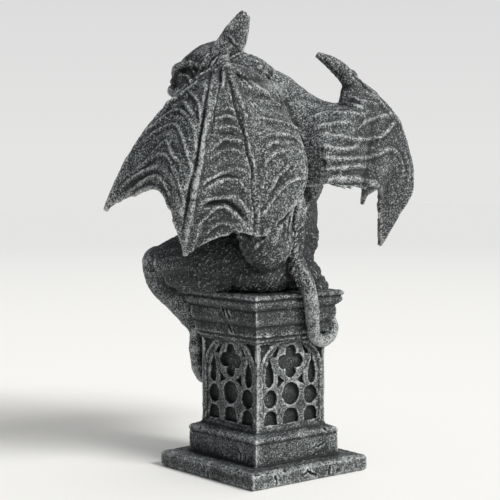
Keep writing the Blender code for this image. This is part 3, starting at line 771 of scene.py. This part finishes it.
plinth = {
    "slabHalf": 42.5, "slabTop": 9.2,
    "footHalf": 30.7, "footTop": 25.3,
    "shaftHalf": 25.2, "shaftBottom": 26.4, "shaftTop": 77.0,
    # the cap's section, as half widths and heights: frieze, lip and top edge
    "frieze": [(28.3, 80.6), (28.1, 85.2), (27.4, 85.9), (28.6, 86.6), (29.8, 88.6), (30.0, 93.8),
               (29.2, 95.0)],
    "lip": [(30.2, 95.6), (32.2, 100.4)], "lipSwell": 0.9,
    "topEdge": [(31.5, 100.9), (32.7, 101.5), (33.0, 102.6), (32.2, 103.7), (31.0, 104.0)],
    "panelHalf": 21.4, "panelFoot": 28.6, "panelSpring": 58.5, "panelTop": 76.2, "panelDepth": 0.8,
    "piercingDepth": 2.9, "spandrelDepth": 1.8,
    "quatrefoilZ": 65.0, "quatrefoilLobe": 4.1, "quatrefoilReach": 5.3,
    "wheelZ": 46.6, "wheelRadius": 6.5,
    # the other lights on one side of the middle: across, height, half width, half height
    "teardrop": (15.8, 59.4, 4.6, 8.2), "sideOval": (14.9, 44.7, 4.9, 5.2),
    # across, foot, spring, half width, rise
    "sideArch": (14.9, 29.9, 33.4, 4.9, 4.6), "middleArch": (0, 29.9, 33.6, 5.6, 4.8),
    "upperSpandrel": [(10.6, 68.2), (13.8, 68.4), (11.8, 71.4), (8.2, 74.2)],
    "lowerSpandrel": [(9.2, 57.6), (9.9, 51.0), (4.6, 54.0)],
    "cornerSpandrel": [(22.9, 75.9), (22.9, 64.5), (20.8, 68.2), (17.8, 72.0), (14.2, 75.9)],
    # how deep a floor lies before it takes the painted shade, and over what depth; how much painted shade the
    # cap takes
    "paintedShadeDepth": (1.3, 1.4), "capPaintedShade": 0.8,
}


def roundedStep(halfLow, zLow, halfHigh, zHigh, out, steps=5):
    for step in range(1, steps):
        part = step / steps
        swell = out * math.sin(math.pi * part)
        yield (halfLow + (halfHigh - halfLow) * part + swell, zLow + (zHigh - zLow) * part)


def plinthProfile():
    slab, slabTop = plinth["slabHalf"], plinth["slabTop"]
    foot, footTop = plinth["footHalf"], plinth["footTop"]
    shaft, low, high = plinth["shaftHalf"], plinth["shaftBottom"], plinth["shaftTop"]
    lip = plinth["lip"]
    return [
        (slab - 1.0, 0.0), (slab, 1.2), (slab, slabTop - 1.4), (slab - 1.6, slabTop),
        (foot, slabTop), (foot - 0.2, footTop - 4.2), (foot - 0.7, footTop - 3.9),
        (foot - 0.2, footTop - 3.4), *roundedStep(foot - 0.2, footTop - 3.4, foot - 1.2, footTop, 0.8),
        (foot - 1.8, footTop), (shaft + 0.6, low), (shaft, low + 1.4),
        (shaft, high), (shaft + 1.7, high + 1.0), (shaft + 1.5, high + 2.4), (shaft + 1.0, high + 2.8),
        *plinth["frieze"], lip[0], *roundedStep(*lip[0], *lip[1], plinth["lipSwell"]), *plinth["topEdge"],
    ]


def squareStack(profile):
    # a square block drawn up from the ground, its half width following the profile
    corners = [(1, 1), (-1, 1), (-1, -1), (1, -1)]
    points = [(x * half, y * half, z) for half, z in profile for x, y in corners]
    faces = []
    for ring in range(len(profile) - 1):
        for side in range(4):
            after = (side + 1) % 4
            faces.append((ring * 4 + side, ring * 4 + after, ring * 4 + 4 + after, ring * 4 + 4 + side))
    faces += [(3, 2, 1, 0), tuple(len(points) - 4 + corner for corner in range(4))]
    return meshFrom("plinth", points, faces)


def cutter(outline, depth):
    # an opening in the shaft's front face, cut in from beyond it
    outline = np.array(outline, float)
    u, z = outline.T
    if np.sum(u * np.roll(z, -1) - z * np.roll(u, -1)) < 0:
        outline = outline[::-1]
    count = len(outline)
    face, floor = -(plinth["shaftHalf"] + 6), -(plinth["shaftHalf"] - depth)
    rings = [np.stack([outline[:, 0], np.full(count, at), outline[:, 1]], axis=1) for at in (face, floor)]
    points = np.vstack(rings)
    faces = [tuple(range(count)), tuple(range(2 * count - 1, count - 1, -1))]
    faces += [(n, count + n, count + (n + 1) % count, (n + 1) % count) for n in range(count)]
    return meshFrom("cutter", points, faces)


def oval(u, z, wide, tall, sides=28):
    turn = np.linspace(0.0, 2 * math.pi, sides, endpoint=False)
    return np.stack([u + wide * np.cos(turn), z + tall * np.sin(turn)], axis=1)


def teardrop(u, z, wide, tall, sides=28):
    turn = np.linspace(0.0, 2 * math.pi, sides, endpoint=False) - math.pi / 2
    narrow = 0.5 * (1 - np.sin(turn)) ** 0.6
    return np.stack([u + 1.25 * wide * np.cos(turn) * narrow, z + tall * np.sin(turn)], axis=1)


def pointedArch(u, foot, spring, half, rise, steps=9):
    outline = [(u + half, foot), (u + half, spring)]
    for step in range(1, steps):
        part = step / steps * math.pi / 2
        outline.append((u + half * math.cos(part) ** 0.75, spring + rise * math.sin(part) ** 1.1))
    outline.append((u, spring + rise))
    return outline + [(2 * u - across, z) for across, z in outline[-2::-1]]


def quatrefoil():
    lobe, reach, outline = plinth["quatrefoilLobe"], plinth["quatrefoilReach"], []
    cusp = math.pi / 4 + math.asin(reach / (lobe * math.sqrt(2)))
    for quarter in range(4):
        heading = quarter * math.pi / 2
        u, z = reach * math.cos(heading), plinth["quatrefoilZ"] + reach * math.sin(heading)
        for step in range(-8, 8):
            turn = heading + cusp * step / 8
            outline.append((u + lobe * math.cos(turn), z + lobe * math.sin(turn)))
    return outline


def traceryCutters():
    deep = plinth["panelDepth"] + plinth["piercingDepth"]
    rise = plinth["panelTop"] - plinth["panelSpring"]
    arch = pointedArch(0, plinth["panelFoot"], plinth["panelSpring"], plinth["panelHalf"], rise)
    panel = cutter(arch, plinth["panelDepth"])
    lights = [quatrefoil(), oval(0, plinth["wheelZ"], plinth["wheelRadius"], plinth["wheelRadius"])]
    for side in (-1, 1):
        for light, form in (("teardrop", teardrop), ("sideOval", oval)):
            across, *size = plinth[light]
            lights.append(form(side * across, *size))
        for light in ("upperSpandrel", "lowerSpandrel"):
            lights.append([(side * u, z) for u, z in plinth[light]])
        across, *size = plinth["sideArch"]
        lights.append(pointedArch(side * across, *size))
    lights.append(pointedArch(*plinth["middleArch"]))
    corners = [[(side * u, z) for u, z in plinth["cornerSpandrel"]] for side in (-1, 1)]
    spandrels = [cutter(corner, plinth["spandrelDepth"]) for corner in corners]
    return panel, [cutter(light, deep) for light in lights] + spandrels


def fourSides(piece):
    copies = [piece]
    for quarter in range(1, 4):
        copy = piece.copy()
        copy.data = piece.data.copy()
        bpy.context.scene.collection.objects.link(copy)
        copy.data.transform(Matrix.Rotation(quarter * math.pi / 2, 4, "Z"))
        copies.append(copy)
    return copies


def cutAway(piece, cutters):
    tool = joined("cutters", cutters)
    applyModifier(piece, "BOOLEAN", operation="DIFFERENCE", solver="EXACT", object=tool)
    bpy.data.objects.remove(tool)


def buildPlinth():
    block = squareStack(plinthProfile())
    panel, lights = traceryCutters()
    cutAway(block, fourSides(panel))
    cutAway(block, [copy for light in lights for copy in fourSides(light)])
    melt(block, casting["plinthVoxel"], casting["plinthSmooth"])
    carve(block, wear)
    for size, strength in casting["plinthGrain"]:
        displace(block, size, strength)
    lighten(block)
    return block


def buildGargoyle():
    parts = torso() + legs() + arms() + tail() + head() + leftWing() + rightWing()
    figure = joined("gargoyle", parts)
    print("forms joined")
    melt(figure, casting["figureVoxel"], casting["figureSmooth"])
    print("one skin")
    carve(figure, carving)
    print("carved")
    combFur(figure)
    for size, strength in casting["figureGrain"]:
        displace(figure, size, strength)
    lighten(figure)
    return figure


# resin

def linear(hexColour):
    # an sRGB hex colour as linear light
    parts = [int(hexColour[place:place + 2], 16) / 255 for place in (1, 3, 5)]
    return (*[part / 12.92 if part <= 0.04045 else ((part + 0.055) / 1.055) ** 2.4 for part in parts], 1.0)


def addNode(tree, kind, inputs=(), **settings):
    # inputs gives socket names with a value, or with another node's output
    node = tree.nodes.new(kind)
    for key, value in settings.items():
        setattr(node, key, value)
    for key, value in dict(inputs).items():
        if isinstance(value, bpy.types.NodeSocket):
            tree.links.new(value, node.inputs[key])
        else:
            node.inputs[key].default_value = value
    return node


castResin = {
    # coats: the hollow coat is partly the black wash and partly painted shade, the palest coat partly heavy
    # brushing and partly painted glints
    "hollow": "#08090a", "body": "#1a1c1e", "brushed": "#7b7f80", "heavyBrushAndGlint": "#c0c3c1",
    "grain": 0.9, "mottle": 9.0, "roughness": 0.62,
    # how much the speckle, sharp ridges, hollows (partly painted shade), broad swells, patches and the
    # painted shade and darker places count in the brushed paint, and how much less of it there is in all
    "figurePaint": {
        "speckle": 1.15, "crest": 0.145, "hollow": 0.10, "swell": 0.06, "patchy": 0.10, "shadeAndDarkening": 0.10,
        "less": 0.012,
    },
    "plinthPaint": {
        "speckle": 0.85, "crest": 0.24, "hollow": 0.30, "swell": 0.26, "patchy": 0.20, "shadeAndDarkening": 0.045,
        "less": 0.02,
    },
}


def dryBrushedResin(name, paint):
    # cold-cast resin with stone grit, washed black, then dry-brushed grey: dull, pale ridges, dark hollows
    # that are partly the black wash and partly painted shade, the palest specks partly painted glints
    material = bpy.data.materials.new(name)
    material.use_nodes = True
    tree = material.node_tree
    shader = tree.nodes["Principled BSDF"]
    place = addNode(tree, "ShaderNodeTexCoord").outputs["Object"]
    perGrain, perMottle = 1 / (castResin["grain"] * mm), 1 / (castResin["mottle"] * mm)
    grit = {"Vector": place, "Scale": perGrain, "Detail": 4.0, "Roughness": 0.65}
    grain = addNode(tree, "ShaderNodeTexNoise", grit).outputs["Fac"]
    pit = {"Vector": place, "Scale": perGrain / 1.3}
    pits = addNode(tree, "ShaderNodeTexVoronoi", pit).outputs["Distance"]
    patches = {"Vector": place, "Scale": perMottle, "Detail": 3.0}
    mottle = addNode(tree, "ShaderNodeTexNoise", patches).outputs["Fac"]
    fine = addNode(tree, "ShaderNodeAttribute", attribute_name="fineRelief").outputs["Fac"]
    broad = addNode(tree, "ShaderNodeAttribute", attribute_name="broadRelief").outputs["Fac"]
    shadeAndDarkening = addNode(tree, "ShaderNodeAttribute", attribute_name="shadeAndDarkening").outputs["Fac"]

    def maths(operation, one, two):
        return addNode(tree, "ShaderNodeMath", {0: one, 1: two}, operation=operation).outputs[0]

    def ramp(value, low, high):
        limits = {"Value": value, "From Min": low, "From Max": high}
        return addNode(tree, "ShaderNodeMapRange", limits).outputs["Result"]

    # speckle of paint caught by the grain, thicker on sharp ridges and missing from hollows, where the
    # darkness is partly painted shade
    crest = maths("MULTIPLY", ramp(fine, 0.58, 0.95), paint["crest"])
    hollow = maths("MULTIPLY", ramp(fine, 0.46, 0.15), paint["hollow"])
    # less paint where the painted shade and the darker places are marked
    paintedShadeAndDarkening = maths("MULTIPLY", shadeAndDarkening, paint["shadeAndDarkening"])
    swell = maths("MULTIPLY", maths("SUBTRACT", broad, 0.5), paint["swell"])
    patchy = maths("MULTIPLY", maths("SUBTRACT", mottle, 0.5), paint["patchy"])
    speckle = maths("MULTIPLY", maths("SUBTRACT", grain, 0.5), paint["speckle"])
    raised = maths("ADD", maths("ADD", speckle, patchy), maths("ADD", crest, swell))
    catch = maths("SUBTRACT", maths("SUBTRACT", raised, maths("ADD", hollow, paintedShadeAndDarkening)), paint["less"])
    brush = ramp(catch, -0.05, 0.09)
    # the palest coat: partly the heaviest dry-brush on high ridges and partly painted glints
    heavyBrushAndGlintAmount = ramp(catch, 0.06, 0.26)
    # concave places drawn towards the hollow coat: partly the black wash, partly painted shade in creases and
    # corners
    sink = ramp(maths("ADD", maths("MULTIPLY", broad, 0.6), maths("MULTIPLY", fine, 0.4)), 0.48, 0.2)
    colour = linear(castResin["body"])
    for factor, coat in ((sink, "hollow"), (brush, "brushed"), (heavyBrushAndGlintAmount, "heavyBrushAndGlint")):
        coats = {"Factor": factor, 6: colour, 7: linear(castResin[coat])}
        colour = addNode(tree, "ShaderNodeMix", coats, data_type="RGBA").outputs[2]
    tree.links.new(colour, shader.inputs["Base Color"])
    shader.inputs["Roughness"].default_value = castResin["roughness"]
    shader.inputs["Specular IOR Level"].default_value = 0.45
    height = maths("ADD", grain, maths("MULTIPLY", pits, 0.6))
    bump = addNode(tree, "ShaderNodeBump", {"Height": height, "Strength": 0.9, "Distance": 0.5 * mm})
    tree.links.new(bump.outputs["Normal"], shader.inputs["Normal"])
    return material


def finishPiece(piece, material, shadeAndDarkening):
    markRelief(piece, shadeAndDarkening)
    makeActive(piece)
    bpy.ops.object.shade_smooth()
    piece.data.materials.clear()
    piece.data.materials.append(material)
    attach(piece, "root")
    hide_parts("gargoyle_on_plinth")


# studio

studio = {
    "pixels": 500, "sensor": 36, "lens": 99.43, "azimuth": 140.58, "elevation": 3.63, "distance": 794.0,
    "aim": (5.925, -4.870, 126.56),
    "floor": "#f6f5f2", "farFloor": "#e1e1e0", "near": 250.0, "far": 2200.0,
    "horizon": "#e5e5e4", "top": "#dcdcdc",
    "lightSide": (0.88, 0.87, 0.83, 1), "darkSide": (0.15, 0.16, 0.19, 1), "key": 2.75, "keyAngle": 20.0,
    "keyFrom": (0.55, 0.60, 0.60),  # behind the camera, to its right and above
}


def cameraAxes():
    azimuth, elevation = math.radians(studio["azimuth"]), math.radians(studio["elevation"])
    level = math.cos(elevation)
    back = Vector((math.sin(azimuth) * level, -math.cos(azimuth) * level, math.sin(elevation)))
    right = Vector((0, 0, 1)).cross(back).normalized()
    return back, right, back.cross(right), Vector(studio["aim"]) + back * studio["distance"]


def paperSweep():
    # a pale paper sweep, a little greyer farther back, so that no horizon shows
    paper = bpy.data.materials.new("paperSweep")
    paper.use_nodes = True
    tree = paper.node_tree
    shader = tree.nodes["Principled BSDF"]
    shader.inputs["Roughness"].default_value = 0.9
    shader.inputs["Specular IOR Level"].default_value = 0.0
    place = addNode(tree, "ShaderNodeTexCoord").outputs["Object"]
    away = addNode(tree, "ShaderNodeVectorMath", {0: place}, operation="LENGTH").outputs["Value"]
    fade = addNode(tree, "ShaderNodeMapRange", {
        "Value": away, "From Min": studio["near"] * mm, "From Max": studio["far"] * mm,
    }).outputs["Result"]
    colours = {"Factor": fade, 6: linear(studio["floor"]), 7: linear(studio["farFloor"])}
    colour = addNode(tree, "ShaderNodeMix", colours, data_type="RGBA").outputs[2]
    tree.links.new(colour, shader.inputs["Base Color"])
    return paper


def paleRoom(right):
    # soft room light, brighter and warmer from the picture's right; the backdrop itself is an even pale grey
    world = bpy.data.worlds.new("paleRoom")
    world.use_nodes = True
    tree = world.node_tree
    seen = addNode(tree, "ShaderNodeLightPath").outputs["Is Camera Ray"]
    direction = addNode(tree, "ShaderNodeTexCoord").outputs["Generated"]
    height = addNode(tree, "ShaderNodeSeparateXYZ", {"Vector": direction}).outputs["Z"]
    aside = addNode(tree, "ShaderNodeVectorMath", {0: direction, 1: tuple(right)}, operation="DOT_PRODUCT")
    ranges = [{"Value": height, "From Min": 0.0, "From Max": 0.12},
              {"Value": aside.outputs["Value"], "From Min": -0.7, "From Max": 0.8}]
    rise, side = (addNode(tree, "ShaderNodeMapRange", limits).outputs["Result"] for limits in ranges)
    shown = {"Factor": rise, 6: linear(studio["horizon"]), 7: linear(studio["top"])}
    light = {"Factor": side, 6: studio["darkSide"], 7: studio["lightSide"]}
    shown, light = (addNode(tree, "ShaderNodeMix", of, data_type="RGBA").outputs[2] for of in (shown, light))
    either = {"Factor": seen, 6: light, 7: shown}
    colour = addNode(tree, "ShaderNodeMix", either, data_type="RGBA").outputs[2]
    tree.links.new(colour, tree.nodes["Background"].inputs["Color"])
    return world


def buildStudio():
    back, right, _, eye = cameraAxes()
    cameraData = bpy.data.cameras.new("camera")
    cameraData.lens = studio["lens"]
    cameraData.sensor_width = studio["sensor"]
    camera = bpy.data.objects.new("camera", cameraData)
    bpy.context.scene.collection.objects.link(camera)
    camera.location = eye * mm
    camera.rotation_euler = back.to_track_quat("Z", "Y").to_euler()
    bpy.context.scene.camera = camera

    deselectAll()
    bpy.ops.mesh.primitive_plane_add(size=8, location=(0, 0, -0.0002))
    floor = bpy.context.object
    floor.name = "floor"
    floor.data.materials.append(paperSweep())

    behind, aside, above = studio["keyFrom"]
    key = (back * behind + right * aside + Vector((0, 0, above))).normalized()
    light = bpy.data.lights.new("keyLight", "SUN")
    light.energy = studio["key"]
    light.angle = math.radians(studio["keyAngle"])
    keyLight = bpy.data.objects.new("keyLight", light)
    bpy.context.scene.collection.objects.link(keyLight)
    keyLight.rotation_euler = key.to_track_quat("Z", "Y").to_euler()
    bpy.context.scene.world = paleRoom(right)
    bpy.context.scene.view_settings.view_transform = "Standard"


plinthPiece = buildPlinth()
finishPiece(plinthPiece, dryBrushedResin("dryBrushedResinPlinth", castResin["plinthPaint"]), plinthPaintedShade)
print("plinth done")
gargoyle = buildGargoyle()
finishPiece(gargoyle, dryBrushedResin("dryBrushedResinFigure", castResin["figurePaint"]), figureShadeAndDarkening)
print("gargoyle done")
buildStudio()
